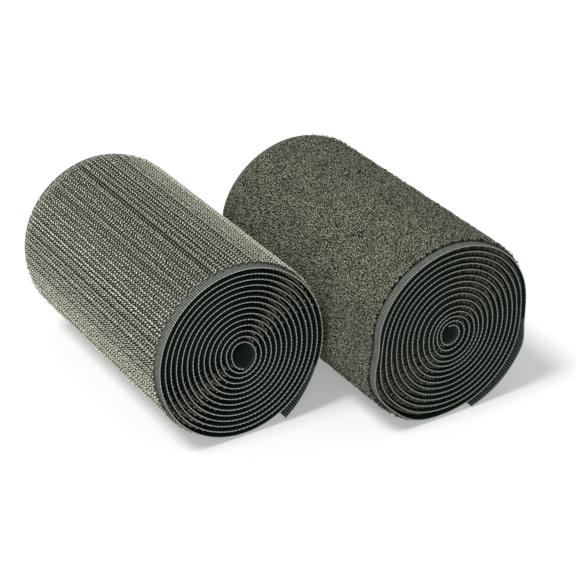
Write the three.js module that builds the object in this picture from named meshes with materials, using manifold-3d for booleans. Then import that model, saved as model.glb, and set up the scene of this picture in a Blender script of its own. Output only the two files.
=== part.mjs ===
// Hook and loop tape as a matching pair: a roll of hook tape and a roll of loop tape, both wound without a
// core, with the working face outwards, lying side by side on a flat surface.
// Millimetres and degrees. X runs across the two rolls, Y along their axes with the front ends towards -Y,
// and Z up from the surface that they lie on. The origin is at the middle of the pair, on that surface.
// Seen from the front, each tape is wound clockwise from its inner end to its free outer end.

import * as THREE from 'three';
import loadManifold from 'manifold-3d';
import { mergeVertices } from 'three/addons/utils/BufferGeometryUtils.js';

// The tapes: a woven ground with a plain border along each edge, and the hooks or the loop pile on its face.
const TAPE_WIDTH = 100;
const SELVEDGE_WIDTH = 2.8;
const GROUND_THICKNESS = 0.45;
const HOOK_HEIGHT = 1.35;
const PILE_HEIGHT = 1.35;
const CRUSHED_HEIGHT = 0.15;

// The hook roll: even turns, slightly oval, with the core a little off the middle and the inner end leaning
// on the turn outside it.
const HOOK_TURNS = 13.94;
const HOOK_CORE_RADIUS = 3.65;
const HOOK_PITCH = 1.96;
const HOOK_START_ANGLE = -83;
const HOOK_OVAL_DEPTH = 0.42;
const HOOK_OVAL_ANGLE = 110;
const HOOK_CORE_SHIFT = 0.43;
const HOOK_CORE_SHIFT_ANGLE = -46;
const HOOK_CORE_SHIFT_TURN = 1;
const HOOK_CORE_SHIFT_REACH = 3.8;
const HOOK_CORE_BULGE = 0.3;
const HOOK_CORE_BULGE_WIDTH = 27;
const HOOK_END_TURNS = 0.28;
const HOOK_TAIL_LENGTH = 20;
const HOOK_TAIL_LIFT = 2.8;
const HOOK_TAIL_RISE = 1.6;

// The loop roll: tight turns at the core, which is pushed down and aside, and looser ones outside. It is
// dented where it leans on the hook roll, with a crease in the outermost turn, bulges below that, is
// flattened on its far side and sags underneath, its outermost turn most.
const LOOP_TURNS = 14.5;
const LOOP_CORE_RADIUS = 2.8;
const LOOP_CORE_TURNS = 4.2;
const LOOP_CORE_PITCH = 1.8;
const LOOP_PITCH = 2.05;
const LOOP_START_ANGLE = 107;
const LOOP_OVAL_DEPTH = 0.53;
const LOOP_OVAL_ANGLE = 49;
const LOOP_OVAL_GROWTH = 1.2;
const LOOP_CORE_SHIFT = 1;
const LOOP_CORE_SHIFT_ANGLE = -50;
const LOOP_CORE_SHIFT_TURN = 3.4;
const LOOP_CORE_SHIFT_REACH = 1.8;
const LOOP_DENT = { depth: 1.55, angle: 189, width: 40, fade: 9 };
const LOOP_CREASE = { depth: 1.1, angle: 177, width: 13, fade: 0.5 };
const LOOP_BULGE = { depth: -2.15, angle: 205, width: 22, fade: 2.7 };
const LOOP_FLAT = { depth: 0.9, angle: 0, width: 17, fade: 1.9 };
const LOOP_SAG = { depth: -0.6, angle: 237, width: 15, fade: 3.8 };
const LOOP_BELLY = { depth: -0.85, angle: 248, width: 16, fade: 0.5 };
const LOOP_END_TURNS = 0.3;
const LOOP_TAIL_LENGTH = 36;
const LOOP_TAIL_LIFT = 1.9;
const LOOP_TAIL_RISE = 0.3;
const LOOP_TAIL_DROOP = 1.05;
const LOOP_AHEAD = 26;

// How many turns a bulge at the core reaches to either side before it fades.
const CORE_BULGE_FADE = 0.5;

// How far the pile is pressed flat where a roll lies on the surface, and the clearances between pieces.
const FLOOR_PRESS = 0.5;
const FLOOR_CLEARANCE = 0.2;
const BOND_CLEARANCE = 0.05;
const TURN_CLEARANCE = 0.84;
const END_CLEARANCE = 0.7;
const FOLD_CLEARANCE = 0.3;
const ROLL_CLEARANCE = 0.3;

// How far a true arc may stand off the flat facet that replaces it, the facets of a free end, the step in
// turns over which a direction is taken, the points on each facet where the gap between turns is measured,
// and how many turns apart two facets are before they count as lying on different turns.
const FACET_BULGE = 0.22;
const TAIL_FACETS = 10;
const DIRECTION_STEP = 0.002;
const FACET_SHARES = [0, 0.25, 0.5, 0.75];
const TURNS_APART = 0.5;

const FULL_TURN = 2 * Math.PI;
const GROUND_OUTER = GROUND_THICKNESS / 2;
const PILE_INNER = GROUND_OUTER + BOND_CLEARANCE;
const PILE_WIDTH = TAPE_WIDTH - 2 * SELVEDGE_WIDTH;

const HOOK_ROLL = {
  turns: HOOK_TURNS,
  startAngle: HOOK_START_ANGLE,
  coreRadius: HOOK_CORE_RADIUS,
  coreTurns: 0,
  corePitch: HOOK_PITCH,
  pitch: HOOK_PITCH,
  ovalDepth: HOOK_OVAL_DEPTH,
  ovalAngle: HOOK_OVAL_ANGLE,
  ovalGrowth: 0,
  dents: [],
  coreShift: HOOK_CORE_SHIFT,
  coreShiftAngle: HOOK_CORE_SHIFT_ANGLE,
  coreShiftTurn: HOOK_CORE_SHIFT_TURN,
  coreShiftReach: HOOK_CORE_SHIFT_REACH,
  coreBulge: HOOK_CORE_BULGE,
  coreBulgeWidth: HOOK_CORE_BULGE_WIDTH,
  endTurns: HOOK_END_TURNS,
  tailLength: HOOK_TAIL_LENGTH,
  tailLift: HOOK_TAIL_LIFT,
  tailRise: HOOK_TAIL_RISE,
  tailDroop: 0,
  freeHeight: HOOK_HEIGHT,
};

const LOOP_ROLL = {
  turns: LOOP_TURNS,
  startAngle: LOOP_START_ANGLE,
  coreRadius: LOOP_CORE_RADIUS,
  coreTurns: LOOP_CORE_TURNS,
  corePitch: LOOP_CORE_PITCH,
  pitch: LOOP_PITCH,
  ovalDepth: LOOP_OVAL_DEPTH,
  ovalAngle: LOOP_OVAL_ANGLE,
  ovalGrowth: LOOP_OVAL_GROWTH,
  dents: [LOOP_DENT, LOOP_CREASE, LOOP_BULGE, LOOP_FLAT, LOOP_SAG, LOOP_BELLY],
  coreShift: LOOP_CORE_SHIFT,
  coreShiftAngle: LOOP_CORE_SHIFT_ANGLE,
  coreShiftTurn: LOOP_CORE_SHIFT_TURN,
  coreShiftReach: LOOP_CORE_SHIFT_REACH,
  coreBulge: 0,
  coreBulgeWidth: 1,
  endTurns: LOOP_END_TURNS,
  tailLength: LOOP_TAIL_LENGTH,
  tailLift: LOOP_TAIL_LIFT,
  tailRise: LOOP_TAIL_RISE,
  tailDroop: LOOP_TAIL_DROOP,
  freeHeight: PILE_HEIGHT,
};

// A smooth hump of height 1 at 0 degrees that dies away over its width, on either side.
function hump(degrees, width) {
  const offset = THREE.MathUtils.euclideanModulo(degrees + 180, 360) - 180;
  return Math.exp(-((offset / width) ** 2));
}

// The direction, in degrees from +X, that a tape has reached after some turns from its inner end.
function angleAt(roll, turns) {
  return roll.startAngle - 360 * turns;
}

// The radius of the plain spiral, with neither dents nor loose ends.
function spiralRadius(roll, turns) {
  const coreTurns = Math.min(turns, roll.coreTurns);
  return roll.coreRadius + roll.corePitch * coreTurns + roll.pitch * (turns - coreTurns);
}

// Where the free end starts, in turns from the inner end.
function tailStart(roll) {
  return roll.turns - roll.tailLength / (FULL_TURN * spiralRadius(roll, roll.turns));
}

// A share that is 1 at some turns and dies away over a reach of turns to either side.
function nearTurn(turns, middle, reach) {
  return Math.exp(-(((turns - middle) / reach) ** 2));
}

// The radius of the middle of the woven ground after some turns, without the loose ends. Dents are deepest
// on the outermost turn and fade inwards.
function restRadius(roll, turns) {
  const angle = angleAt(roll, turns);
  const cosine = (degrees) => Math.cos(THREE.MathUtils.degToRad(degrees));
  const oval = roll.ovalDepth * cosine(2 * (angle - roll.ovalAngle))
    * (turns / roll.turns) ** roll.ovalGrowth;
  const shift = roll.coreShift * cosine(angle - roll.coreShiftAngle)
    * nearTurn(turns, roll.coreShiftTurn, roll.coreShiftReach);
  const bulge = roll.coreBulge * hump(angle - roll.startAngle, roll.coreBulgeWidth)
    * nearTurn(turns, 1, CORE_BULGE_FADE);
  const inwards = Math.min(0, turns - (roll.turns - 1));
  const dents = roll.dents.reduce((sum, dent) => (
    sum + dent.depth * hump(angle - dent.angle, dent.width) * Math.exp(inwards / dent.fade)
  ), 0);
  return spiralRadius(roll, turns) + oval + shift + bulge - dents;
}

// How far the inner end leans outwards, up to the back of the next turn with its pile crushed between them.
function endLean(roll) {
  const room = restRadius(roll, 1) - restRadius(roll, 0);
  return room - GROUND_THICKNESS - BOND_CLEARANCE - CRUSHED_HEIGHT - END_CLEARANCE;
}

// How far the loose ends stand off the spiral: the inner one outwards, and the free outer one off the roll.
function looseness(roll, turns) {
  const inner = Math.max(0, 1 - turns / roll.endTurns);
  const share = Math.max(0, (turns - tailStart(roll)) / (roll.turns - tailStart(roll)));
  const rise = THREE.MathUtils.smoothstep(share, 0, roll.tailRise);
  return endLean(roll) * inner ** 2 + roll.tailLift * rise - roll.tailDroop * share ** 3;
}

// The radius of the middle of the woven ground after some turns, with the loose ends.
function radiusAt(roll, turns) {
  return restRadius(roll, turns) + looseness(roll, turns);
}

// The middle of the ground in the tape's section, X across and Y up.
function middleAt(roll, turns) {
  const angle = THREE.MathUtils.degToRad(angleAt(roll, turns));
  return new THREE.Vector2(Math.cos(angle), Math.sin(angle)).multiplyScalar(radiusAt(roll, turns));
}

// A point of the section at a distance from the middle of the ground, outwards and square to the tape.
function pointAt(roll, turns, outside) {
  const before = middleAt(roll, Math.max(0, turns - DIRECTION_STEP));
  const along = middleAt(roll, turns + DIRECTION_STEP).sub(before).normalize();
  return middleAt(roll, turns).add(new THREE.Vector2(-along.y, along.x).multiplyScalar(outside));
}

// The height of the hooks or pile: free on the outermost turn, and pressed down by the next turn elsewhere.
function pileHeight(roll, turns) {
  if (turns + 1 > roll.turns) {
    return roll.freeHeight;
  }
  const room = radiusAt(roll, turns + 1) - radiusAt(roll, turns);
  const pressed = room - GROUND_THICKNESS - BOND_CLEARANCE - TURN_CLEARANCE;
  return THREE.MathUtils.clamp(pressed, CRUSHED_HEIGHT, roll.freeHeight);
}

const groundInner = (roll) => (turns) => pointAt(roll, turns, -GROUND_OUTER);
const groundOuter = (roll) => (turns) => pointAt(roll, turns, GROUND_OUTER);
const pileInner = (roll) => (turns) => pointAt(roll, turns, PILE_INNER);
const pileOuter = (roll) => (turns) => pointAt(roll, turns, PILE_INNER + pileHeight(roll, turns));

// Stations along the wound tape, closer at the core, so that every facet stands off its arc alike.
function woundStations(roll) {
  const end = tailStart(roll);
  const stations = [0];
  while (stations.at(-1) < end) {
    const here = stations.at(-1);
    stations.push(here + Math.acos(1 - FACET_BULGE / radiusAt(roll, here)) / Math.PI);
  }
  return stations.map((turns) => turns * end / stations.at(-1));
}

// Stations along the free end, which starts a clearance past the end of the wound tape.
function tailStations(roll) {
  const start = tailStart(roll) + FOLD_CLEARANCE / (FULL_TURN * spiralRadius(roll, roll.turns));
  return Array.from({ length: TAIL_FACETS + 1 }, (_, index) => (
    THREE.MathUtils.lerp(start, roll.turns, index / TAIL_FACETS)
  ));
}

// A ribbon between an inner and an outer line of the section, as wide as asked and centred on the roll.
function ribbon(stations, inner, outer, width) {
  const section = new THREE.Shape([...stations.map(inner), ...stations.toReversed().map(outer)]);
  const geometry = new THREE.ExtrudeGeometry(section, { depth: width, bevelEnabled: false });
  return geometry.rotateX(Math.PI / 2).translate(0, width / 2, 0);
}

const wasm = await loadManifold();
wasm.setup();

function toSolid(geometry) {
  const bare = geometry.clone();
  bare.deleteAttribute('normal');
  bare.deleteAttribute('uv');
  const merged = mergeVertices(bare);
  return new wasm.Manifold(new wasm.Mesh({
    numProp: 3,
    vertProperties: new Float32Array(merged.attributes.position.array),
    triVerts: new Uint32Array(merged.index.array),
  }));
}

function toGeometry(solid) {
  const mesh = solid.getMesh();
  const geometry = new THREE.BufferGeometry();
  geometry.setAttribute('position', new THREE.BufferAttribute(mesh.vertProperties, 3));
  geometry.setIndex(new THREE.BufferAttribute(mesh.triVerts, 1));
  return geometry;
}

// Cuts away what lies below a level of the roll's own frame, where the pile is pressed flat.
function pressFlat(geometry, level) {
  const size = 4 * TAPE_WIDTH;
  const below = new THREE.BoxGeometry(size, size, size).translate(0, 0, level - size / 2);
  return toGeometry(toSolid(geometry).subtract(toSolid(below)));
}

const finishes = {
  hookGround: new THREE.MeshStandardMaterial({ color: 0x5f6a64, roughness: 0.85, metalness: 0 }),
  hooks: new THREE.MeshStandardMaterial({ color: 0x8b8a78, roughness: 0.6, metalness: 0 }),
  loopGround: new THREE.MeshStandardMaterial({ color: 0x56625d, roughness: 0.9, metalness: 0 }),
  pile: new THREE.MeshStandardMaterial({ color: 0x6c6b5a, roughness: 1, metalness: 0 }),
};

function piece(name, geometry, material) {
  const mesh = new THREE.Mesh(geometry, material);
  mesh.name = name;
  return mesh;
}

// The level that a roll lies on: its lowest pile is pressed flat there, and its free end stays clear of it.
function floorLevel(roll, wound, tail) {
  const lowestPile = Math.min(...wound.map((turns) => pileOuter(roll)(turns).y));
  const lowestEnd = Math.min(...tail.map((turns) => groundOuter(roll)(turns).y));
  return Math.min(lowestPile + FLOOR_PRESS, lowestEnd - FLOOR_CLEARANCE);
}

// One roll, with its axis along Y and the surface that it lies on at Z = 0.
function makeRoll(roll, names, groundMaterial, pileMaterial) {
  const wound = woundStations(roll);
  const tail = tailStations(roll);
  const floor = floorLevel(roll, wound, tail);
  const ground = [groundInner(roll), groundOuter(roll), TAPE_WIDTH];
  const pile = [pileInner(roll), pileOuter(roll), PILE_WIDTH];
  const group = new THREE.Group();
  group.add(
    piece(names.ground, ribbon(wound, ...ground), groundMaterial),
    piece(names.pile, pressFlat(ribbon(wound, ...pile), floor), pileMaterial),
    piece(names.tailGround, ribbon(tail, ...ground), groundMaterial),
    piece(names.tailPile, pressFlat(ribbon(tail, ...pile), floor + FLOOR_CLEARANCE), pileMaterial),
  );
  group.position.z = -floor;
  printMeasures(names.ground, roll, wound, tail);
  return group;
}

// Prints the least gap between a turn's pile and the back of the next turn, measured on points of the
// facets, and the length of the tape.
function printMeasures(name, roll, wound, tail) {
  const alongFacets = (line) => wound.slice(1).flatMap((turns, index) => (
    FACET_SHARES.map((share) => line(wound[index]).lerp(line(turns), share))
  ));
  const outer = alongFacets(pileOuter(roll));
  const inner = alongFacets(groundInner(roll));
  const turnsOf = (index) => wound[Math.floor(index / FACET_SHARES.length)];
  let leastGap = Infinity;
  outer.forEach((point, from) => inner.forEach((other, to) => {
    if (turnsOf(to) - turnsOf(from) > TURNS_APART) {
      leastGap = Math.min(leastGap, point.distanceTo(other));
    }
  }));
  const stations = [...wound, ...tail];
  const length = stations.slice(1).reduce((sum, turns, index) => (
    sum + middleAt(roll, turns).distanceTo(middleAt(roll, stations[index]))
  ), 0);
  const measures = `least gap between turns ${leastGap.toFixed(2)} mm, tape length ${length.toFixed(0)} mm`;
  console.log(`${name}: ${measures}`);
}

const hookRoll = makeRoll(
  HOOK_ROLL,
  { ground: 'hook_tape', pile: 'hook_field', tailGround: 'hook_tape_end', tailPile: 'hook_field_end' },
  finishes.hookGround,
  finishes.hooks,
);
const loopRoll = makeRoll(
  LOOP_ROLL,
  { ground: 'loop_tape', pile: 'loop_pile', tailGround: 'loop_tape_end', tailPile: 'loop_pile_end' },
  finishes.loopGround,
  finishes.pile,
);

// The loop roll lies against the hook roll, a little nearer to the viewer.
const hookBox = new THREE.Box3().setFromObject(hookRoll);
const loopBox = new THREE.Box3().setFromObject(loopRoll);
loopRoll.position.x = hookBox.max.x + ROLL_CLEARANCE - loopBox.min.x;
loopRoll.position.y = -LOOP_AHEAD;

const tapePair = new THREE.Group();
tapePair.add(hookRoll, loopRoll);
const middle = new THREE.Box3().setFromObject(tapePair).getCenter(new THREE.Vector3());
tapePair.position.set(-middle.x, -middle.y, 0);

export default tapePair;
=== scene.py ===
"""Looks of a matching pair of fastening tape rolls: a roll of hook tape beside a roll of loop tape.

Each tape is made flat, as it comes off the loom, and then wound into its roll. On the flat tape X runs
along it from the inner end, Y across it with the front edge at -Y, and Z off the middle of its ground,
towards the hooks or the loops. Sizes are in millimetres and degrees, and finished meshes are in metres.
"""

import logging
import math
from dataclasses import dataclass
from enum import Enum
from functools import cached_property

import bmesh
import bpy
import numpy as np
from bmesh.types import BMesh, BMFace
from bpy.types import ID, Material, Mesh, Node, NodeSocket, NodeTree, Object
from mathutils import Matrix, Vector

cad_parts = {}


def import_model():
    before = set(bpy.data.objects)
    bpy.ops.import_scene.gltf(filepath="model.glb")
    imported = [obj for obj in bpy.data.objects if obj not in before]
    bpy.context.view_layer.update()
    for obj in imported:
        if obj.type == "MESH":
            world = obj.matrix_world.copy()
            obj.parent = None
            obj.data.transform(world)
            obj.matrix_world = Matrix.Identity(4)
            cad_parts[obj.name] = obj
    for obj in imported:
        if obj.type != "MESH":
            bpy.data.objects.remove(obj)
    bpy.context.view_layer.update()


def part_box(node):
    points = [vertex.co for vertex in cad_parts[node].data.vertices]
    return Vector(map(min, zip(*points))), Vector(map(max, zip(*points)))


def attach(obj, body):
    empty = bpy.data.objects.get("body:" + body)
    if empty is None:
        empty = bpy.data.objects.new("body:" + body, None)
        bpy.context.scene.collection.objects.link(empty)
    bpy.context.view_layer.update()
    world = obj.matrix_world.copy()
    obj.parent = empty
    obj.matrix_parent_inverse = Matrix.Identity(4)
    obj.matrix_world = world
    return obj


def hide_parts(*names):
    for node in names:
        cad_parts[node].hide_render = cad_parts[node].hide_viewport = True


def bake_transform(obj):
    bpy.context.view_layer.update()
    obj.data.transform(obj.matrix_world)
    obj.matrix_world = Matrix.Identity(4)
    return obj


log = logging.getLogger("tape_pair")

METRES = 0.001
WHITE = (1, 1, 1, 1)

# The triangle count from which a piece is logged as having too many, and the sides of the filaments, which
# are too fine to show more.
TRIANGLE_LIMIT = 200_000
FILAMENT_SIDES = 3

# What the meshes keep for their materials: a map of the flat tape, and two values for each point.
FLAT_MAP = "flat_tape"
HEIGHT = "height"
# The share of the ground that lies open, kept from the painted shade of the wound turns.
UNSHADED = "shown"

# Blender's bands of a wave repeat after this length at a scale of 1.
BAND_REPEAT = math.pi / 10

# The woven tape, as the solids have it: its width, plain borders, ground, and the height of its face.
TAPE_WIDTH = 100.0
BORDER_WIDTH = 2.8
GROUND_THICKNESS = 0.45
GROUND_TOP = GROUND_THICKNESS / 2
FACE_HEIGHT = 1.4
FIELD_WIDTH = TAPE_WIDTH - 2 * BORDER_WIDTH

# The weave: weft ribs as far apart as the photograph shows, and a row of hooks on every other one. The weft
# turns back at the thin edges in beads, every other one smaller, and the ribs stop short of the face.
HOOK_RIB = 0.7
LOOP_RIB = 0.69
ROW_SPACING = 2 * HOOK_RIB
RIB_DEPTH = 0.05
EDGE_NOTCH = 0.3
EDGE_WAVE = 0.08
EDGE_THINNING = 0.3
EDGE_INSET = 0.35
SMALL_BEAD = 0.1
RIB_MARGIN = 0.1

# How finely the winding is measured, the room that the next turn leaves over a pressed face, the least
# share of its height that the face keeps there, and the room from the inner end to the turn it leans on.
TABLE_STEPS = 6000
TURN_SLACK = 0.12
CRUSHED_SHARE = 0.12
INNER_ROOM = 1.35

# The free end's piece starts before the fold, and a stretch on either side of the fold is measured, though
# nothing is bent over it.
FOLD_LEAD = 4.5
FOLD_REACH = 3.5

# How deep the face of the inner turns can be seen from the ends of a roll. Deeper in, the ground stands in
# for it: over a short step it rises to fill the turn up to a slit.
SEEN_DEPTH = 6.4
FILL_STEP = 0.2
FILL_SLIT = 0.03

# How much of the full colour that open cloth has is kept on the back round the bore; the rest of it is
# painted shade.
BORE_UNSHADED = 0.42


class Tape(Enum):
    """The two tapes of the pair, by the word that starts their names."""

    HOOK = "hook"
    LOOP = "loop"


class RollEnd(Enum):
    """The two ends of a roll, by the side of the tape that shows there."""

    FRONT = -1
    REAR = 1


class Band(Enum):
    """Three bands of the face that together fill its width, from the front edge on."""

    FRONT = 0
    MIDDLE = 1
    REAR = 2

    def limits(self, low: float, high: float) -> tuple[float, float]:
        """The band's own part of a stretch across the tape."""
        share = (high - low) / len(Band)
        return low + share * self.value, low + share * (self.value + 1)


def linear(code: str) -> tuple[float, float, float, float]:
    """Turn an sRGB hex colour into linear red, green, blue and alpha.

    Args:
        code: Six hex digits, such as "5f6a64".

    Returns:
        The colour with an alpha of 1.
    """
    shares = [int(code[at:at + 2], 16) / 255 for at in (0, 2, 4)]
    red, green, blue = [s / 12.92 if s <= 0.04045 else ((s + 0.055) / 1.055) ** 2.4 for s in shares]
    return red, green, blue, 1.0


def add_node(tree: NodeTree, kind: str, inputs: dict, **settings: object) -> Node:
    """Add a shader node with its settings and links.

    Args:
        tree: The material's node tree.
        kind: The node's Blender type.
        inputs: Values for its inputs, by name or number: a socket is linked, and anything else is set.
        settings: Properties of the node itself.

    Returns:
        The new node.
    """
    made = tree.nodes.new(kind)
    for key, value in settings.items():
        setattr(made, key, value)
    for key, value in inputs.items():
        if isinstance(value, NodeSocket):
            tree.links.new(value, made.inputs[key])
        else:
            made.inputs[key].default_value = value
    return made


def mixed(tree: NodeTree, share: object, first: object, second: object) -> NodeSocket:
    """Mix two colours, from the first at a share of 0 to the second at 1, and give the mix's socket."""
    ends = {"Factor": share, "A": first, "B": second}
    return add_node(tree, "ShaderNodeMix", ends, data_type="RGBA").outputs["Result"]


def ranged(
    tree: NodeTree, value: NodeSocket, start: float, end: float, low: float = 0, high: float = 1,
) -> NodeSocket:
    """Map values from one stretch to another, held at its ends, and give the result's socket."""
    ends = {"Value": value, "From Min": start, "From Max": end, "To Min": low, "To Max": high}
    return add_node(tree, "ShaderNodeMapRange", ends).outputs["Result"]


def worked_out(tree: NodeTree, operation: str, *values: object, clamp: bool = False) -> NodeSocket:
    """Do a sum on sockets and numbers, held between 0 and 1 if asked, and give the result's socket."""
    made = add_node(tree, "ShaderNodeMath", dict(enumerate(values)), operation=operation, use_clamp=clamp)
    return made.outputs[0]


def stripes(tree: NodeTree, flat: NodeSocket, way: str, width: float, wander: float = 0) -> NodeSocket:
    """Lay soft stripes over the flat tape.

    Args:
        tree: The material's node tree.
        flat: The place on the flat tape.
        way: The axis along which one stripe follows another.
        width: How far apart they are, in mm.
        wander: How unevenly they run.

    Returns:
        The socket of their height, from 0 to 1.
    """
    ends = {"Vector": flat, "Scale": BAND_REPEAT / (width * METRES), "Distortion": wander}
    form = {"wave_type": "BANDS", "bands_direction": way, "wave_profile": "SIN"}
    return add_node(tree, "ShaderNodeTexWave", ends, **form).outputs["Fac"]


def patches(tree: NodeTree, flat: NodeSocket, width: float, detail: float = 2) -> NodeSocket:
    """Lay soft patches of about a width, in mm, over the flat tape, and give their socket, from 0 to 1."""
    ends = {"Vector": flat, "Scale": 1 / (width * METRES), "Detail": detail}
    return add_node(tree, "ShaderNodeTexNoise", ends).outputs["Fac"]


def flat_place(tree: NodeTree) -> NodeSocket:
    """The place on the flat tape, as a socket."""
    return add_node(tree, "ShaderNodeUVMap", {}, uv_map=FLAT_MAP).outputs["UV"]


def kept(tree: NodeTree, name: str) -> NodeSocket:
    """A value that the mesh keeps for each point, as a socket."""
    return add_node(tree, "ShaderNodeAttribute", {}, attribute_name=name).outputs["Fac"]


def relief(tree: NodeTree, height: NodeSocket, strength: float, depth: float) -> NodeSocket:
    """Raise a fine relief of some depth, in mm, and give the socket of its normals."""
    ends = {"Height": height, "Strength": strength, "Distance": depth * METRES}
    return add_node(tree, "ShaderNodeBump", ends).outputs["Normal"]


def add_shader(tree: NodeTree, inputs: dict) -> None:
    """Give a material its shader, with values and sockets for the shader's inputs."""
    shader = add_node(tree, "ShaderNodeBsdfPrincipled", inputs)
    add_node(tree, "ShaderNodeOutputMaterial", {"Surface": shader.outputs["BSDF"]})


def new_material(name: str) -> tuple[Material, NodeTree]:
    """Start a node material with nothing in it.

    Args:
        name: The material's name.

    Returns:
        The material and its empty node tree.
    """
    material = bpy.data.materials.new(name)
    material.use_nodes = True
    material.node_tree.nodes.clear()
    return material, material.node_tree


def add_object(name: str, data: ID) -> Object:
    """Put a mesh, a light or a camera into the scene.

    Args:
        name: The object's name.
        data: What it shows.

    Returns:
        The object, at the origin.
    """
    made = bpy.data.objects.new(name, data)
    bpy.context.scene.collection.objects.link(made)
    return made


def as_mesh(shape: BMesh, name: str) -> Mesh:
    """Turn a shape into a mesh.

    Args:
        shape: The shape. It is freed.
        name: The mesh's name.

    Returns:
        The mesh.
    """
    mesh = bpy.data.meshes.new(name)
    shape.to_mesh(mesh)
    shape.free()
    return mesh


def mesh_points(mesh: Mesh) -> np.ndarray:
    """Read a mesh's points.

    Args:
        mesh: The mesh.

    Returns:
        One row for each point.
    """
    points = np.zeros(len(mesh.vertices) * 3, np.float32)
    mesh.vertices.foreach_get("co", points)
    return points.reshape(-1, 3).astype(float)


def move_points(mesh: Mesh, points: np.ndarray) -> None:
    """Move a mesh's points to new places."""
    mesh.vertices.foreach_set("co", points.astype(np.float32).ravel())


def keep_values(mesh: Mesh, name: str, values: np.ndarray) -> None:
    """Let a mesh keep a value for each point."""
    mesh.attributes.new(name, "FLOAT", "POINT").data.foreach_set("value", values.astype(np.float32))


def keep_flat_place(mesh: Mesh, flat: np.ndarray) -> None:
    """Let a mesh keep its place on the flat tape, so that a weave follows the cloth.

    The height off the ground goes from 0 to 1 at the face's full height.

    Args:
        mesh: The mesh.
        flat: The points' places on the flat tape, in mm.
    """
    corners = np.zeros(len(mesh.loops), np.int32)
    mesh.loops.foreach_get("vertex_index", corners)
    layer = mesh.uv_layers.new(name=FLAT_MAP)
    layer.data.foreach_set("uv", (flat[corners, :2] * METRES).astype(np.float32).ravel())
    keep_values(mesh, HEIGHT, (flat[:, 2] - GROUND_TOP) / FACE_HEIGHT)


def scattered(shape: BMesh, places: np.ndarray, turns: np.ndarray) -> Mesh:
    """Repeat a small solid shape at many places of the flat tape.

    Args:
        shape: The shape, standing on the origin. It is freed.
        places: One place for each copy, in mm.
        turns: One 3 by 3 matrix for each copy, which turns and sizes it.

    Returns:
        One mesh that holds all the copies.
    """
    bmesh.ops.recalc_face_normals(shape, faces=shape.faces[:])
    seed = add_object("seed", as_mesh(shape, "seed"))
    copies = seed.modifiers.new("copies", "ARRAY")
    copies.count = len(places)
    copies.use_relative_offset = False
    copies.use_constant_offset = True
    copies.constant_offset_displace = (0, 0, 0)
    mesh = bpy.data.meshes.new_from_object(seed.evaluated_get(bpy.context.evaluated_depsgraph_get()))
    bpy.data.meshes.remove(seed.data)
    blocks = mesh_points(mesh).reshape(len(places), -1, 3)
    blocks = np.einsum("kij,kvj->kvi", turns, blocks) + places[:, None, :]
    move_points(mesh, blocks)
    return mesh


def joined(first: Mesh, second: Mesh) -> Mesh:
    """Take a second mesh up into a first one.

    Args:
        first: The mesh that stays.
        second: The mesh that goes.

    Returns:
        The first mesh, with both shapes in it.
    """
    both = bmesh.new()
    both.from_mesh(first)
    both.from_mesh(second)
    both.to_mesh(first)
    both.free()
    bpy.data.meshes.remove(second)
    return first


def leaning(spin: np.ndarray, lean: np.ndarray, size: np.ndarray) -> np.ndarray:
    """Make the matrices that turn small shapes on the tape.

    Args:
        spin: Angles about the tape's normal, in degrees.
        lean: Angles by which each shape leans over first, about Y, in degrees.
        size: Scales.

    Returns:
        One 3 by 3 matrix for each shape.
    """
    a, b = np.radians(spin), np.radians(lean)
    none, one = np.zeros_like(a), np.ones_like(a)
    about_z = np.array([[np.cos(a), -np.sin(a), none], [np.sin(a), np.cos(a), none], [none, none, one]])
    about_y = np.array([[np.cos(b), none, np.sin(b)], [none, one, none], [-np.sin(b), none, np.cos(b)]])
    return np.einsum("ijk,jlk->kil", about_z, about_y) * size[:, None, None]


@dataclass(frozen=True)
class Dent:
    """A dent in the wound turns, deepest on the outermost one, or a bulge where its depth is negative."""

    depth: float
    angle: float
    width: float
    fade: float


@dataclass(frozen=True)
class Core:
    """How the turns near the middle lie off centre, most at one turn, and bulge over the inner end."""

    shift: float
    angle: float
    turn: float
    reach: float
    bulge: float = 0
    bulge_width: float = 1
    bulge_fade: float = 0.5


@dataclass(frozen=True)
class Tail:
    """How the free outer end stands off the roll, and how far round the inner end leans outwards."""

    length: float
    lift: float
    rise: float
    droop: float
    inner_turns: float


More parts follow.
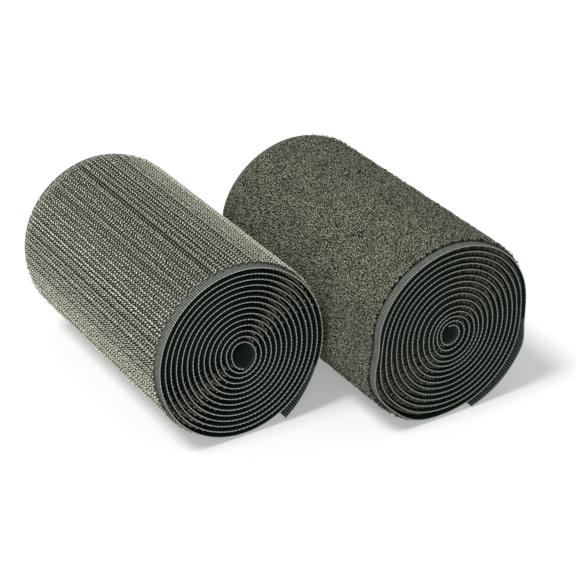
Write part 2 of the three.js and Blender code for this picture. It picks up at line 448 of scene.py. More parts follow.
@dataclass(frozen=True)
class Winding:
    """The spiral that a tape is wound in, seen from the front end with X across and Z up.

    The tape starts at its inner end and runs clockwise. Turns count from there, and angles from +X.
    """

    turns: float
    start_angle: float
    core_radius: float
    core_turns: float
    core_pitch: float
    pitch: float
    oval_depth: float
    oval_angle: float
    oval_growth: float
    core: Core
    tail: Tail
    dents: tuple[Dent, ...] = ()

    @staticmethod
    def hump(degrees: np.ndarray, width: float) -> np.ndarray:
        """A smooth hump of height 1 at 0 degrees that dies away over its width, on either side."""
        return np.exp(-((((degrees + 180) % 360) - 180) / width) ** 2)

    def degrees(self, turns: np.ndarray) -> np.ndarray:
        """The direction that the tape has reached after some turns."""
        return self.start_angle - 360 * turns

    def spiral_radius(self, turns: np.ndarray) -> np.ndarray:
        """The radius of the plain spiral, with neither dents nor loose ends."""
        core = np.minimum(turns, self.core_turns)
        return self.core_radius + self.core_pitch * core + self.pitch * (turns - core)

    @cached_property
    def tail_start(self) -> float:
        """Where the free end starts, in turns."""
        outermost = float(self.spiral_radius(np.array(self.turns)))
        return self.turns - self.tail.length / (2 * math.pi * outermost)

    def rest_radius(self, turns: np.ndarray) -> np.ndarray:
        """The radius of the middle of the ground, without the loose ends.

        Args:
            turns: Places along the tape.

        Returns:
            The radius at each place, with the oval, the core off centre, and the dents.
        """
        degrees, core = self.degrees(turns), self.core
        oval = np.cos(2 * np.radians(degrees - self.oval_angle))
        oval *= self.oval_depth * (turns / self.turns) ** self.oval_growth
        shift = core.shift * np.cos(np.radians(degrees - core.angle))
        shift *= np.exp(-((turns - core.turn) / core.reach) ** 2)
        bulge = core.bulge * self.hump(degrees - self.start_angle, core.bulge_width)
        bulge *= np.exp(-((turns - 1) / core.bulge_fade) ** 2)
        inwards = np.minimum(0, turns - (self.turns - 1))
        radius = self.spiral_radius(turns) + oval + shift + bulge
        for dent in self.dents:
            radius -= dent.depth * self.hump(degrees - dent.angle, dent.width) * np.exp(inwards / dent.fade)
        return radius

    def radius(self, turns: np.ndarray) -> np.ndarray:
        """The radius of the middle of the ground, with the loose ends.

        Args:
            turns: Places along the tape.

        Returns:
            The radius at each place, with the inner end's lean on the next turn and the free end's lift.
        """
        first, second = self.rest_radius(np.array([0.0, 1.0]))
        inner = np.maximum(0, 1 - turns / self.tail.inner_turns)
        share = np.maximum(0, (turns - self.tail_start) / (self.turns - self.tail_start))
        # A smooth step lifts the free end, and its tip droops.
        rise = np.clip(share / self.tail.rise, 0, 1)
        lift = self.tail.lift * rise ** 2 * (3 - 2 * rise) - self.tail.droop * share ** 3
        return self.rest_radius(turns) + (second - first - INNER_ROOM) * inner ** 2 + lift

    def middle(self, turns: np.ndarray) -> np.ndarray:
        """The middle of the ground, as rows of X and Z about the roll's axis."""
        angle, radius = np.radians(self.degrees(turns)), self.radius(turns)
        return np.stack([radius * np.cos(angle), radius * np.sin(angle)], -1)

    def outwards(self, turns: np.ndarray) -> np.ndarray:
        """The directions off the tape's face.

        Args:
            turns: Places along the tape.

        Returns:
            Unit normals, as rows of X and Z.
        """
        step = self.turns / TABLE_STEPS
        along = self.middle(turns + step) - self.middle(np.maximum(0, turns - step))
        along /= np.linalg.norm(along, axis=1)[:, None]
        return np.stack([-along[:, 1], along[:, 0]], -1)

    @cached_property
    def table(self) -> tuple[np.ndarray, np.ndarray]:
        """Measure the tape along its spiral.

        Returns:
            Turns, and the length of tape from the inner end up to each of them.
        """
        turns = np.linspace(0, self.turns, TABLE_STEPS)
        steps = np.linalg.norm(np.diff(self.middle(turns), axis=0), axis=1)
        return turns, np.concatenate([[0], np.cumsum(steps)])

    def turns_at(self, length: np.ndarray) -> np.ndarray:
        """The turns after a length of tape from the inner end."""
        turns, lengths = self.table
        return np.interp(length, lengths, turns)

    def length_at(self, turns: float) -> float:
        """The length of tape from the inner end up to some turns."""
        return float(np.interp(turns, *self.table))

    def press(self, turns: np.ndarray) -> np.ndarray:
        """How much of its free height the face keeps under the next turn.

        Args:
            turns: Places along the tape.

        Returns:
            A share of the free height, which is 1 on the outermost turn.
        """
        room = self.radius(turns + 1) - self.radius(turns) - GROUND_THICKNESS - TURN_SLACK
        return np.where(turns + 1 > self.turns, 1, np.clip(room / FACE_HEIGHT, CRUSHED_SHARE, 1))

    def wound(self, flat: np.ndarray) -> np.ndarray:
        """Wind points of the flat tape.

        Args:
            flat: Places on the flat tape.

        Returns:
            Their places about the roll's axis, with the face pressed down where a turn lies over it.
        """
        turns = self.turns_at(flat[:, 0])
        proud = np.maximum(0, flat[:, 2] - GROUND_TOP)
        height = np.minimum(flat[:, 2], GROUND_TOP) + proud * self.press(turns)
        across = self.middle(turns) + self.outwards(turns) * height[:, None]
        return np.stack([across[:, 0], flat[:, 1], across[:, 1]], -1)


HOOK_WINDING = Winding(
    turns=13.94,
    start_angle=-83,
    core_radius=3.65,
    core_turns=0,
    core_pitch=1.96,
    pitch=1.96,
    oval_depth=0.42,
    oval_angle=110,
    oval_growth=0,
    core=Core(shift=0.43, angle=-46, turn=1, reach=3.8, bulge=0.3, bulge_width=27),
    tail=Tail(length=20, lift=2.8, rise=1.6, droop=0, inner_turns=0.28),
)

LOOP_WINDING = Winding(
    turns=14.5,
    start_angle=107,
    core_radius=2.8,
    core_turns=4.2,
    core_pitch=1.8,
    pitch=2.05,
    oval_depth=0.53,
    oval_angle=49,
    oval_growth=1.2,
    core=Core(shift=1, angle=-50, turn=3.4, reach=1.8),
    tail=Tail(length=36, lift=1.9, rise=0.3, droop=1.05, inner_turns=0.3),
    dents=(
        Dent(depth=1.55, angle=189, width=40, fade=9),
        Dent(depth=1.1, angle=177, width=13, fade=0.5),
        Dent(depth=-2.15, angle=205, width=22, fade=2.7),
        Dent(depth=0.9, angle=0, width=17, fade=1.9),
        Dent(depth=-0.6, angle=237, width=15, fade=3.8),
        Dent(depth=-0.85, angle=248, width=16, fade=0.5),
    ),
)


@dataclass(frozen=True)
class WovenNylon:
    """Woven nylon ground: filament yarn that was dyed in the piece, ribbed across by its weft.

    The eye sees a dull cloth with fine ribs, a bluish plain border with paler edges, and a dark back.
    Painted shade fills the rib hollows and the wound turns, and painted highlight lines the edges.
    """

    name: str
    rib: float
    # Partly painted highlight: the near-white colour of the thin edges.
    edge: str
    border: str
    # The near-black colours are painted shade in the hollows of the ribs, and the darker end of the uneven
    # dye.
    border_shade_and_dye: str
    field: str
    field_shade_and_dye: str = "0b0c08"
    back: str = "74867b"
    back_hollow_shade: str = "060c08"
    # Painted shade: the dark colour that cloth wound in between the turns is darkened towards.
    painted_shade: str = "0a1a12"
    cloth_kept_in_shade: float = 0.1
    roughness: float = 0.72
    gloss: float = 0.12
    border_lap: float = 0.9
    border_blur: float = 0.2
    edge_highlight_width: float = 0.02
    edge_highlight_blur: float = 0.16
    rib_sharpness: float = 1.5
    rib_relief: float = 0.5
    back_rib: float = 1.25
    back_heights: tuple[float, float] = (-0.1, -0.25)
    yarn: float = 0.35
    yarn_wander: float = 0.6
    yarn_low: float = 0.7
    dye_patch: float = 1.1
    dye_uneven: float = 0.3

    def make(self) -> Material:
        """Make the material, on the map of the flat tape.

        Returns:
            A material with ribs along the tape, warp yarns across it and uneven dye, with painted shade in
            the rib hollows and the wound turns, and painted highlight on the edges.
        """
        material, tree = new_material(self.name)
        flat = flat_place(tree)
        # The plain border lies beyond half the field's width, and a near-white line lies along its edge:
        # partly the weft's own paler turns, partly painted highlight of the light that the thin edges
        # catch.
        sides = add_node(tree, "ShaderNodeSeparateXYZ", {"Vector": flat})
        offset = worked_out(tree, "ABSOLUTE", sides.outputs["Y"])
        in_border, at_edge = (
            ranged(tree, offset, (place - blur) * METRES, (place + blur) * METRES)
            for place, blur in (
                (FIELD_WIDTH / 2 - self.border_lap, self.border_blur),
                (TAPE_WIDTH / 2 - self.edge_highlight_width, self.edge_highlight_blur),
            )
        )
        # Weft ribs run across the tape, and warp yarns along it. Their hollows take a near-black copy of
        # each colour: painted shade, beside the bump. The dark back's ribs are too fine to show in the
        # picture, so they are drawn a quarter wider.
        crests, back_crests = (
            worked_out(tree, "POWER", stripes(tree, flat, "X", width), self.rib_sharpness)
            for width in (self.rib, self.rib * self.back_rib)
        )
        yarns = ranged(tree, stripes(tree, flat, "Y", self.yarn, self.yarn_wander), 0, 1, self.yarn_low, 1)
        weave = worked_out(tree, "MULTIPLY", crests, yarns)
        # Dye takes unevenly over a few yarns.
        dye = patches(tree, flat, self.dye_patch)
        uneven = ranged(tree, dye, 0, 1, -self.dye_uneven, self.dye_uneven)
        shade = worked_out(tree, "ADD", weave, uneven, clamp=True)
        # The back lies below the middle of the ground.
        on_back = ranged(tree, kept(tree, HEIGHT), *self.back_heights)
        field, border, back = (
            mixed(tree, share, linear(dark), linear(light))
            for share, dark, light in (
                (shade, self.field_shade_and_dye, self.field),
                (shade, self.border_shade_and_dye, self.border),
                (back_crests, self.back_hollow_shade, self.back),
            )
        )
        front = mixed(tree, in_border, field, border)
        cloth = mixed(tree, on_back, front, back)
        # Painted shade: the cloth wound in between the turns is darkened towards a dark green, and only
        # what lies open keeps its full colour.
        open_share = ranged(tree, kept(tree, UNSHADED), 0, 1, self.cloth_kept_in_shade, 1)
        shaded_cloth = mixed(tree, open_share, linear(self.painted_shade), cloth)
        add_shader(tree, {
            "Base Color": mixed(tree, at_edge, shaded_cloth, linear(self.edge)),
            "Normal": relief(tree, weave, self.rib_relief, RIB_DEPTH),
            "Roughness": self.roughness,
            "Specular IOR Level": self.gloss,
        })
        return material


@dataclass(frozen=True)
class NylonMonofilament:
    """Nylon monofilament hooks: drawn smooth and set by heat.

    The eye sees pale stiff crooks with a small gloss, darker towards their roots: painted shade low down
    and painted light high up.
    """

    name: str
    root: str
    tip: str
    roughness: float = 0.42
    refraction: float = 1.53
    root_shade_curve: float = 1.4
    batch_uneven: float = 0.3

    def make(self) -> Material:
        """Make the material, on each point's height off the ground.

        Returns:
            A material that pales from root to tip, painted shade below and painted light above, and a
            little from one hook to the next.
        """
        material, tree = new_material(self.name)
        # One patch of uneven colour is about as wide as a row.
        batch = patches(tree, flat_place(tree), ROW_SPACING)
        uneven = ranged(tree, batch, 0, 1, -self.batch_uneven, self.batch_uneven)
        # Painted shade and light: the colour runs from the dark root to the pale tip with the height off
        # the ground.
        share = worked_out(tree, "ADD", kept(tree, HEIGHT), uneven, clamp=True)
        paler = worked_out(tree, "POWER", share, self.root_shade_curve)
        add_shader(tree, {
            "Base Color": mixed(tree, paler, linear(self.root), linear(self.tip)),
            "Roughness": self.roughness,
            "IOR": self.refraction,
        })
        return material


@dataclass(frozen=True)
class BrushedNylon:
    """Brushed nylon loops: fine filaments teased into a dull springy felt.

    The eye sees an olive mottle with pale loops over darker hollows, and a soft rim against the light; the
    pale loops and dark hollows are painted light and painted shade, by height.
    """

    name: str
    hollow_shade_and_grain: str
    loop: str
    speck: float = 0.4
    speck_detail: float = 0.5
    speck_spread: tuple[float, float] = (0.3, 0.7)
    mottle: tuple[float, float] = (-1.35, 1.15)
    raised_from: float = 0.5
    raised: tuple[float, float] = (0.09, 0.4)
    fibre_relief: float = 0.6
    fibre_depth: float = 0.2
    roughness: float = 0.95
    gloss: float = 0.12
    rim: float = 0.06
    rim_roughness: float = 0.35

    def make(self) -> Material:
        """Make the material, on the map of the flat tape and the height off the ground.

        Returns:
            A mottled material with a fine fibrous bump, painted darker low down and paler high up.
        """
        material, tree = new_material(self.name)
        # A speck is as fine as the picture shows, which is coarser than the real filaments.
        speck = patches(tree, flat_place(tree), self.speck, self.speck_detail)
        mottle = ranged(tree, speck, *self.speck_spread, *self.mottle)
        # Painted light and shade: the colour pales with the height off the ground, for loops that catch the
        # light over shaded hollows, and the slopes at the borders have no hollows.
        height = kept(tree, HEIGHT)
        raised = ranged(tree, height, self.raised_from, 1, *self.raised)
        share = worked_out(tree, "MULTIPLY_ADD", mottle, height, raised, clamp=True)
        add_shader(tree, {
            "Base Color": mixed(tree, share, linear(self.hollow_shade_and_grain), linear(self.loop)),
            "Normal": relief(tree, speck, self.fibre_relief, self.fibre_depth),
            "Roughness": self.roughness,
            "Specular IOR Level": self.gloss,
            "Sheen Weight": self.rim,
            "Sheen Roughness": self.rim_roughness,
        })
        return material


@dataclass
class TapeRoll:
    """One roll of tape with its free end: the ground, and what both kinds of face share."""

    tape: Tape
    winding: Winding
    ground_finish: Material
    face_finish: Material
    ground_slot: str
    face_slot: str
    rib: float
    seed: int

    # Places across half of the ground: its edge, its ribbed border, and the step where the face is hidden.
    hidden = BORDER_WIDTH + SEEN_DEPTH
    insets = (0, EDGE_INSET, BORDER_WIDTH - RIB_MARGIN, hidden, hidden + FILL_STEP)
    columns = tuple(TAPE_WIDTH / 2 - inset for inset in insets)

    def __post_init__(self) -> None:
        """Seed the roll's own random numbers."""
        self.random = np.random.default_rng(self.seed)

    @cached_property
    def axis(self) -> np.ndarray:
        """Find the roll's axis from where the frame holds the wound ground.

        Returns:
            The middle of the axis.
        """
        low, high = (np.array(corner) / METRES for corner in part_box(f"{self.tape.value}_tape"))
        turns = np.linspace(0, self.winding.tail_start, TABLE_STEPS)
        outside = self.winding.middle(turns) + self.winding.outwards(turns) * GROUND_TOP
        across, up = (outside.min(0) + outside.max(0)) / 2
        return (low + high) / 2 - np.array([across, 0, up])

    @cached_property
    def length(self) -> float:
        """The length of the whole tape."""
        return self.winding.length_at(self.winding.turns)

    @cached_property
    def fold(self) -> float:
        """The length of tape up to the fold that the free end peels from."""
        return self.winding.length_at(self.winding.tail_start)

    @cached_property
    def wound_end(self) -> float:
        """The length of tape up to the free end's piece, which is a whole number of pairs of ribs."""
        pair = 2 * self.rib
        return math.floor((self.fold - FOLD_LEAD) / pair) * pair

    @cached_property
    def outer_start(self) -> float:
        """The length of tape up to what shows outside: the last turn before the fold, and two rows more."""
        return self.winding.length_at(self.winding.tail_start - 1) - 2 * ROW_SPACING

    @property
    def field(self) -> tuple[float, float]:
        """Where the face starts and ends across the tape."""
        return -FIELD_WIDTH / 2, FIELD_WIDTH / 2

    def seen(self, end: RollEnd) -> tuple[float, float]:
        """The part of the face's width that shows between the turns at one end."""
        low, high = self.field
        return (low, low + SEEN_DEPTH) if end is RollEnd.FRONT else (high - SEEN_DEPTH, high)

    def wind(self, name: str, mesh: Mesh, finish: Material) -> Object:
        """Wind a flat mesh into the roll and make it a piece.

        Args:
            name: The piece's name, after the tape's own word.
            mesh: The mesh on the flat tape, in mm.
            finish: Its material.

        Returns:
            The piece, in its place.
        """
        flat = mesh_points(mesh)
        keep_flat_place(mesh, flat)
        placed = self.winding.wound(flat) + self.axis
        # What would lie below the surface that the roll stands on is pressed flat against it.
        placed[:, 2] = np.maximum(placed[:, 2], 0)
        move_points(mesh, placed * METRES)
        mesh.polygons.foreach_set("use_smooth", np.ones(len(mesh.polygons), bool))
        mesh.materials.append(finish)
        mesh.update()
        mesh.name = f"{self.tape.value}_{name}"
        piece = add_object(mesh.name, mesh)
        triangles = sum(len(face.vertices) - 2 for face in mesh.polygons)
        verdict = "" if triangles < TRIANGLE_LIMIT else ", too many"
        log.info("%s: %d triangles%s", piece.name, triangles, verdict)
        return piece

    def dress(self, name: str, mesh: Mesh) -> Object:
        """Wind a mesh of the face into the roll and make it a piece."""
        return self.wind(name, mesh, self.face_finish)

    def weave(self, name: str, start: float, end: float) -> Object:
        """Weave a stretch of the ground, with ribbed borders and notched edges, and wind it.

        Args:
            name: The piece's name, after the tape's own word.
            start: Where the stretch starts along the tape.
            end: Where it ends.

        Returns:
            The piece.
        """
        across = np.array([-y for y in self.columns] + list(reversed(self.columns)))
        steps = 2 * max(1, round((end - start) / self.rib))
        shape = bmesh.new()
        bmesh.ops.create_grid(shape, x_segments=steps, y_segments=len(across) - 1, size=1)
        bmesh.ops.solidify(shape, geom=shape.faces[:], thickness=1)
        mesh = as_mesh(shape, "ground")
        grid = mesh_points(mesh)
        step = np.rint((grid[:, 0] + 1) / 2 * steps)
        column = np.rint((grid[:, 1] + 1) / 2 * (len(across) - 1)).astype(int)
        crest = np.where(step % 2 == 0, -1, 1)
        bead = np.where(step % 4 == 3, SMALL_BEAD, crest)
        side = np.where(grid[:, 2] > -0.5, 1, -1)
        along, out = start + (end - start) * step / steps, across[column]
        at_edge = (column == 0) | (column == len(across) - 1)
        ribbed = np.abs(out) > FIELD_WIDTH / 2
        filled = (np.abs(out) < self.columns[-2]) & (side > 0) & (along < self.outer_start - self.rib)
        half = GROUND_TOP * np.where(at_edge, EDGE_THINNING, 1)
        half += filled * (FACE_HEIGHT + TURN_SLACK - FILL_SLIT)
        flat = np.stack([
            along,
            out + np.sign(out) * bead * at_edge * EDGE_NOTCH / 2,
            side * (half + crest * ribbed * RIB_DEPTH / 2) + bead * at_edge * EDGE_WAVE,
        ], -1)
        move_points(mesh, flat)
        # Only the outermost face, the back of the free end and the back round the bore lie open; the rest
        # of the ground gets painted shade, and the back round the bore gets part of it.
        turns = self.winding.turns_at(along)
        open_front = turns > self.winding.turns - 1
        open_back = np.where(turns > self.winding.tail_start, 1, np.where(turns < 1, BORE_UNSHADED, 0))
        keep_values(mesh, UNSHADED, np.where(side > 0, open_front, open_back))
        return self.wind(name, mesh, self.ground_finish)

    def bend(self, piece: Object) -> None:
        """Bake the place of a piece of the free end into its mesh.

        Args:
            piece: The piece, in its place.
        """
        stretch = self.winding.turns_at(np.array([self.fold - FOLD_REACH, self.fold + FOLD_REACH]))
        start, end = (
            Vector((x + self.axis[0], self.axis[1], z + self.axis[2])) * METRES
            for x, z in self.winding.middle(stretch)
        )
        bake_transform(piece)

    def build(self) -> None:
        """Make every piece of the roll, tie the wound pieces to the roll's body, and hide the solids that
        they stand in for.
        """
        word = self.tape.value
        wound = self.weave("ground_wound", 0, self.wound_end)
        free = self.weave("ground_free_end", self.wound_end, self.length)
        face_wound = self.face()
        face_free = self.face_end()
        for piece in (wound, *face_wound):
            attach(piece, f"{word}_roll")
        for piece in (free, *face_free):
            self.bend(piece)
        face_node = {Tape.HOOK: "hook_field", Tape.LOOP: "loop_pile"}[self.tape]
        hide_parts(f"{word}_tape")
        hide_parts(f"{word}_tape_end")
        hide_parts(face_node)
        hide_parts(f"{face_node}_end")
        width, rest = TAPE_WIDTH * METRES, (self.length - self.wound_end) * METRES
        self.wound_end * METRES

    def face(self) -> list[Object]:
        """Make the face of the wound tape."""
        raise NotImplementedError

    def face_end(self) -> list[Object]:
        """Make the face of the free end."""
        raise NotImplementedError


@dataclass
class HookRoll(TapeRoll):
    """The roll of hook tape: rows of bent monofilament that stand off the ground."""

    spacing: float = 1.56
    wire: float = 0.42
    stem: float = 0.8
    crook: float = 0.33
    crook_turn: float = 205
    crook_steps: int = 4
    stub: float = 0.9
    slant: float = 26
    row_lean: float = 9
    row_uneven: float = 0.05
    place_scatter: float = 0.03
    spin_scatter: float = 5
    lean_scatter: float = 3
    size_scatter: float = 0.035
    end_margin: float = 0.2

    @cached_property
    def row_habits(self) -> tuple[np.ndarray, np.ndarray]:
        """How far each whole row of the tape leans, and how tall it stands, as the loom left it."""
        count = math.ceil(self.length / ROW_SPACING) + 1
        return self.random.normal(0, self.row_lean, count), self.random.normal(1, self.row_uneven, count)

    def leg(self, shape: BMesh, height: float) -> BMFace:
        """Stand a straight leg on the origin.

        Args:
            shape: The shape that it is added to.
            height: How far it stands off the ground.

        Returns:
            The face at its top.
        """
        foot = bmesh.ops.create_circle(shape, cap_ends=True, segments=FILAMENT_SIDES, radius=self.wire / 2)
        raised = bmesh.ops.extrude_face_region(shape, geom=foot["verts"][0].link_faces[:])["geom"]
        top = next(part for part in raised if isinstance(part, BMFace))
        bmesh.ops.translate(shape, verts=top.verts[:], vec=(0, 0, GROUND_TOP + height))
        return top

    def cut_leg(self) -> BMesh:
        """Stand one of the short legs that the hooks were cut from.

        Returns:
            The leg, with its root in the ground.
        """
        shape = bmesh.new()
        self.leg(shape, self.stub)
        return shape

    def hook(self) -> BMesh:
        """Bend one hook, a stem that curls over along Y.

        Returns:
            The hook, with its root in the ground.
        """
        shape = bmesh.new()
        tip = self.leg(shape, self.stem)
        bmesh.ops.spin(
            shape, geom=[tip], cent=(0, self.crook, GROUND_TOP + self.stem), axis=(-1, 0, 0),
            angle=math.radians(self.crook_turn), steps=self.crook_steps, use_merge=False,
        )
        bmesh.ops.holes_fill(shape, edges=shape.edges[:], sides=0)
        bmesh.ops.translate(shape, verts=shape.verts[:], vec=(0, -self.crook, 0))
        return shape

    def rows(self, start: float, end: float, low: float, high: float) -> Mesh:
        """Set rows of hooks on the flat tape, every other row facing back, with rows of cut legs between.

        Args:
            start: Where the first row may stand along the tape.
            end: Where the last row may stand.
            low: Where a row may start across the tape.
            high: Where it may end.

        Returns:
            The mesh of all the hooks and legs.
        """
        rows = np.arange(math.ceil(start / ROW_SPACING), math.floor(end / ROW_SPACING) + 1)
        count = round(FIELD_WIDTH / self.spacing)
        places = np.linspace(-0.5, 0.5, count) * (FIELD_WIDTH - self.spacing / 2)
        row, across = (grid.ravel() for grid in np.meshgrid(rows, places, indexing="ij"))
        chosen = (across >= low) & (across < high)
        row, across = row[chosen], across[chosen]
        parity, amount = row % 2, len(row)
        ground = np.zeros(amount)
        spots = np.stack([row * ROW_SPACING, across + (parity - 0.5) * self.spacing / 2, ground], -1)
        legs = np.stack([(row + 0.5) * ROW_SPACING, across, ground], -1)
        legs = legs[legs[:, 0] < end]
        for stand in (spots, legs):
            stand[:, :2] += self.random.normal(0, self.place_scatter, (len(stand), 2))
        facing = np.where(parity == 0, self.slant, 180 - self.slant)
        spin = facing + self.random.normal(0, self.spin_scatter, amount)
        row_leans, row_sizes = (habit[row] for habit in self.row_habits)
        lean = self.random.normal(0, self.lean_scatter, amount) + row_leans
        size = self.random.normal(1, self.size_scatter, amount) * row_sizes
        hooks = scattered(self.hook(), spots, leaning(spin, lean, size))
        straight = np.broadcast_to(np.eye(3), (len(legs), 3, 3))
        return joined(hooks, scattered(self.cut_leg(), legs, straight))

    def face(self) -> list[Object]:
        """Make the hooks of the wound tape.

        Returns:
            The hooks that show on the outermost turn, and those that show between the turns at each end.
        """
        pieces = []
        for band in Band:
            outer = self.rows(self.outer_start, self.wound_end - ROW_SPACING / 2, *band.limits(*self.field))
            pieces.append(self.dress(f"rows_outer_{band.name.lower()}", outer))
        for end in RollEnd:
            inner = self.rows(0, self.outer_start - ROW_SPACING / 2, *self.seen(end))
            pieces.append(self.dress(f"rows_inner_{end.name.lower()}", inner))
        return pieces

    def face_end(self) -> list[Object]:
        """Make the hooks of the free end, which are one piece."""
        rows = self.rows(self.wound_end, self.length - self.end_margin, *self.field)
        return [self.dress("rows_free_end", rows)]


@dataclass
class LoopRoll(TapeRoll):
    """The roll of loop tape: a felt of brushed loops, with the uppermost loops standing out of it."""

    felt_step: float = 0.6
    felt_height: float = 0.95
    pressed_height: float = 1.3
    pressed_spread: float = 1.3
    felt_rough: float = 0.09
    felt_clumping: float = 1.4
    felt_slope: float = 0.12
    felt_sink: float = 0.02
    filament: float = 0.22
    loop_radius: float = 0.36
    loop_turn: float = 230
    loop_steps: int = 4
    loops_per_area: float = 1.0
    loop_lift: float = 0.05
    loop_scatter: float = 0.1
    loop_lean: float = 38
    loop_sizes: tuple[float, float] = (0.75, 1.2)

    @property
    def looped(self) -> tuple[float, float]:
        """Where the outermost loops stand across the tape, so that they hang over the border."""
        low, high = self.field
        return low - self.filament, high + self.filament

    def pressed(self, end: RollEnd) -> tuple[float, float]:
        """The part of the width that shows pile between the turns, which press it out over the border."""
        (low, high), spread = self.seen(end), self.pressed_spread
        return (low - spread, high) if end is RollEnd.FRONT else (low, high + spread)

    def felt(self, start: float, end: float, low: float, high: float, tall: float) -> Mesh:
        """Lay the felt of the pile on the flat tape, lumpy above and closed below.

        Args:
            start: Where it starts along the tape.
            end: Where it ends.
            low: Where it starts across the tape.
            high: Where it ends.
            tall: Its mean height.

        Returns:
            The closed mesh.
        """
        steps = max(2, round((end - start) / self.felt_step))
        columns = max(2, round((high - low) / self.felt_step))
        shape = bmesh.new()
        bmesh.ops.create_grid(shape, x_segments=steps, y_segments=columns, size=1)
        rim = [edge for edge in shape.edges if edge.is_boundary]
        sides = [edge for edge in rim if all(abs(vert.co.y) > 1 - 1 / columns for vert in edge.verts)]
        bmesh.ops.bridge_loops(shape, edges=sides)
        bmesh.ops.holes_fill(shape, edges=[edge for edge in shape.edges if edge.is_boundary], sides=0)
        bmesh.ops.recalc_face_normals(shape, faces=shape.faces[:])
        mesh = as_mesh(shape, "felt")
        grid = mesh_points(mesh)
        step = np.rint((grid[:, 0] + 1) / 2 * steps).astype(int)
        column = np.rint((grid[:, 1] + 1) / 2 * columns).astype(int)
        # Each lump takes a share of its neighbours' heights, which makes clumps.
        lumps = self.random.normal(0, 1, (steps + 1, columns + 1))
        clumps = sum(np.roll(lumps, shift, axis) for axis in (0, 1) for shift in (-1, 1)) / 2
        height = tall + self.felt_rough * (lumps + clumps) / self.felt_clumping
        height[:, [0, -1]] = 0
        across = np.linspace(low, high, columns + 1)
        across[[1, -2]] = low + self.felt_slope, high - self.felt_slope
        flat = np.stack([
            start + (end - start) * step / steps,
            across[column],
            GROUND_TOP - self.felt_sink + np.maximum(0, height[step, column]),
        ], -1)
        move_points(mesh, flat)
        return mesh

    def loop(self) -> BMesh:
        """Bend one loop of filament, an open ring on edge along Y with both feet in the felt.

        Returns:
            The loop.
        """
        shape = bmesh.new()
        bmesh.ops.create_circle(shape, cap_ends=True, segments=FILAMENT_SIDES, radius=self.filament / 2)
        gap = math.radians(360 - self.loop_turn) / 2
        bmesh.ops.translate(shape, verts=shape.verts[:], vec=(0, -self.loop_radius, 0))
        upright = Matrix.Rotation(math.pi / 2 - gap, 3, "X")
        bmesh.ops.rotate(shape, verts=shape.verts[:], cent=(0, 0, 0), matrix=upright)
        bmesh.ops.spin(
            shape, geom=shape.faces[:], cent=(0, 0, 0), axis=(-1, 0, 0), angle=math.radians(self.loop_turn),
            steps=self.loop_steps, use_merge=False,
        )
        bmesh.ops.holes_fill(shape, edges=shape.edges[:], sides=0)
        return shape

    def loops(self, start: float, end: float, low: float, high: float) -> Mesh:
        """Strew loops over the felt, turned every way.

        Args:
            start: Where they start along the tape.
            end: Where they end.
            low: Where they start across the tape.
            high: Where they end.

        Returns:
            The mesh of all the loops.
        """
        amount = round((end - start) * (high - low) * self.loops_per_area)
        along = self.random.uniform(start, end, amount)
        across = self.random.uniform(low, high, amount)
        lift = self.random.normal(self.loop_lift, self.loop_scatter, amount)
        spots = np.stack([along, across, GROUND_TOP + self.felt_height + lift], -1)
        spin = self.random.uniform(0, 360, amount)
        lean = self.random.normal(0, self.loop_lean, amount)
        size = self.random.uniform(*self.loop_sizes, amount)
        return scattered(self.loop(), spots, leaning(spin, lean, size))

    def face(self) -> list[Object]:
        """Make the pile of the wound tape.

        Returns:
            The felt and the loops that show on the outermost turn, and those that show between the turns.
        """
        felt = self.felt(self.outer_start, self.wound_end, *self.field, self.felt_height)
        pieces = [self.dress("felt_outer", felt)]
        for band in Band:
            loops = self.loops(self.outer_start, self.wound_end, *band.limits(*self.looped))
            pieces.append(self.dress(f"loops_outer_{band.name.lower()}", loops))
        for end in RollEnd:
            inner = self.felt(0, self.outer_start, *self.pressed(end), self.pressed_height)
            pieces.append(self.dress(f"felt_inner_{end.name.lower()}", inner))
        return pieces

    def face_end(self) -> list[Object]:
        """Make the pile of the free end.

        Returns:
            Its felt and its loops.
        """
        felt = self.felt(self.wound_end, self.length, *self.field, self.felt_height)
        loops = self.loops(self.wound_end, self.length - self.loop_radius, *self.looped)
        return [self.dress("felt_free_end", felt), self.dress("loops_free_end", loops)]


@dataclass(frozen=True)
class Lamp:
    """A wide soft light: where it comes from, the angle that it fills, and its strength.

    A strength of 1 lights a white surface that faces it to full white.
    """

    name: str
    source: tuple[float, float, float]
    spread: float
    strength: float

    def build(self) -> None:
        """Hang the lamp."""
        data = bpy.data.lights.new(self.name, "SUN")
        data.angle = math.radians(self.spread)
        data.energy = self.strength * math.pi
        turn = Vector(self.source).to_track_quat("Z", "Y")
        add_object(self.name, data).rotation_euler = turn.to_euler()


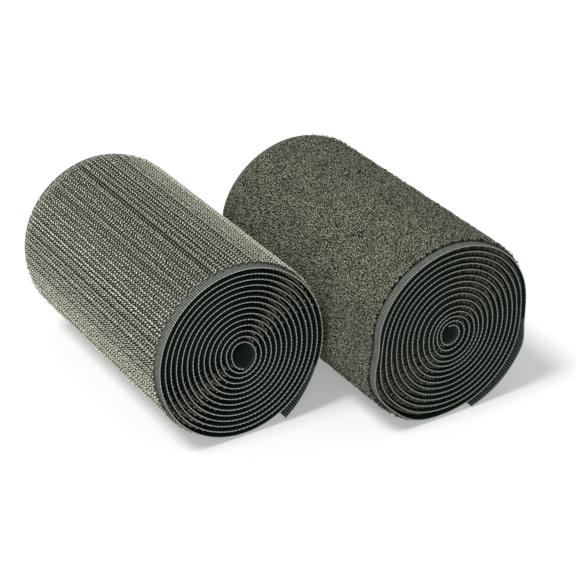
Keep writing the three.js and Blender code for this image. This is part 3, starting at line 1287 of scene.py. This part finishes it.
@dataclass(frozen=True)
class Studio:
    """The plain studio: a pale floor, a bright room with a key light, and the photograph's camera."""

    picture_width: float = 576
    sensor: float = 36
    focal: float = 1972.06
    place: tuple[float, float, float] = (-293.84, -506.60, 353.51)
    heading: float = 30.775
    tilt: float = 29.063
    roll: float = -1.114
    sight: float = 10_000
    floor_size: float = 3000
    floor_colour: str = "d4d4d4"
    floor_roughness: float = 0.9
    floor_glow: float = 0.3
    sky: float = 0.38
    lamps: tuple[Lamp, ...] = (
        Lamp("key", (-0.47, -0.03, 0.88), 18, 0.78),
        Lamp("fill", (-0.43, -0.74, 0.52), 20, 0.2),
    )

    def camera(self) -> None:
        """Set up the camera where the photograph was taken from."""
        data = bpy.data.cameras.new("camera")
        data.sensor_width = self.sensor
        data.lens = self.focal / self.picture_width * self.sensor
        data.clip_end = self.sight * METRES
        stand = Matrix.Translation(Vector(self.place) * METRES)
        for angle, axis in ((-self.heading, "Z"), (90 - self.tilt, "X"), (self.roll, "Z")):
            stand = stand @ Matrix.Rotation(math.radians(angle), 4, axis)
        camera = add_object("camera", data)
        camera.matrix_world = stand
        bpy.context.scene.camera = camera

    def floor(self) -> None:
        """Lay the pale floor that the rolls stand on, lit from below like a light table."""
        shape = bmesh.new()
        bmesh.ops.create_grid(shape, x_segments=1, y_segments=1, size=self.floor_size * METRES / 2)
        floor = add_object("floor", as_mesh(shape, "floor"))
        material, tree = new_material("pale_paper")
        add_shader(tree, {
            "Base Color": linear(self.floor_colour),
            "Roughness": self.floor_roughness,
            "Emission Color": WHITE,
            "Emission Strength": self.floor_glow,
        })
        floor.data.materials.append(material)

    def build(self) -> None:
        """Set up the floor, the lights and the camera."""
        scene = bpy.context.scene
        scene.view_settings.view_transform = "Standard"
        scene.world = bpy.data.worlds.new("studio")
        scene.world.use_nodes = True
        sky = scene.world.node_tree.nodes["Background"].inputs
        sky["Strength"].default_value = self.sky
        sky["Color"].default_value = WHITE
        self.floor()
        for lamp in self.lamps:
            lamp.build()
        self.camera()


# The pale edge colours are partly painted highlight.
HOOK_GROUND = WovenNylon(
    "woven_nylon_hook_ground", rib=HOOK_RIB, edge="f2fff2",
    border="969c93", border_shade_and_dye="070a08", field="48493e",
)
LOOP_GROUND = WovenNylon(
    "woven_nylon_loop_ground", rib=LOOP_RIB, edge="d8e4d6",
    border="8e948c", border_shade_and_dye="0c100d", field="4a4b41",
)
# The near-black root is painted shade among the hooks, and the near-white tip painted light.
HOOKS = NylonMonofilament("nylon_monofilament_hooks", root="12130d", tip="f6f6e0")
# The near-black colour is grain and painted shade in the hollows, the pale one grain and painted light on
# the loops.
PILE = BrushedNylon("brushed_nylon_loops", hollow_shade_and_grain="0b0c07", loop="aeb099")


def main() -> None:
    """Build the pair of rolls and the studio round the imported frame."""
    logging.basicConfig(level=logging.INFO, format="%(message)s")
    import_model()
    Studio().build()
    HookRoll(
        Tape.HOOK, HOOK_WINDING, HOOK_GROUND.make(), HOOKS.make(), "hook_ground", "hooks",
        rib=HOOK_RIB, seed=7,
    ).build()
    LoopRoll(
        Tape.LOOP, LOOP_WINDING, LOOP_GROUND.make(), PILE.make(), "loop_ground", "loop_pile",
        rib=LOOP_RIB, seed=11,
    ).build()


if __name__ == "__main__":
    main()
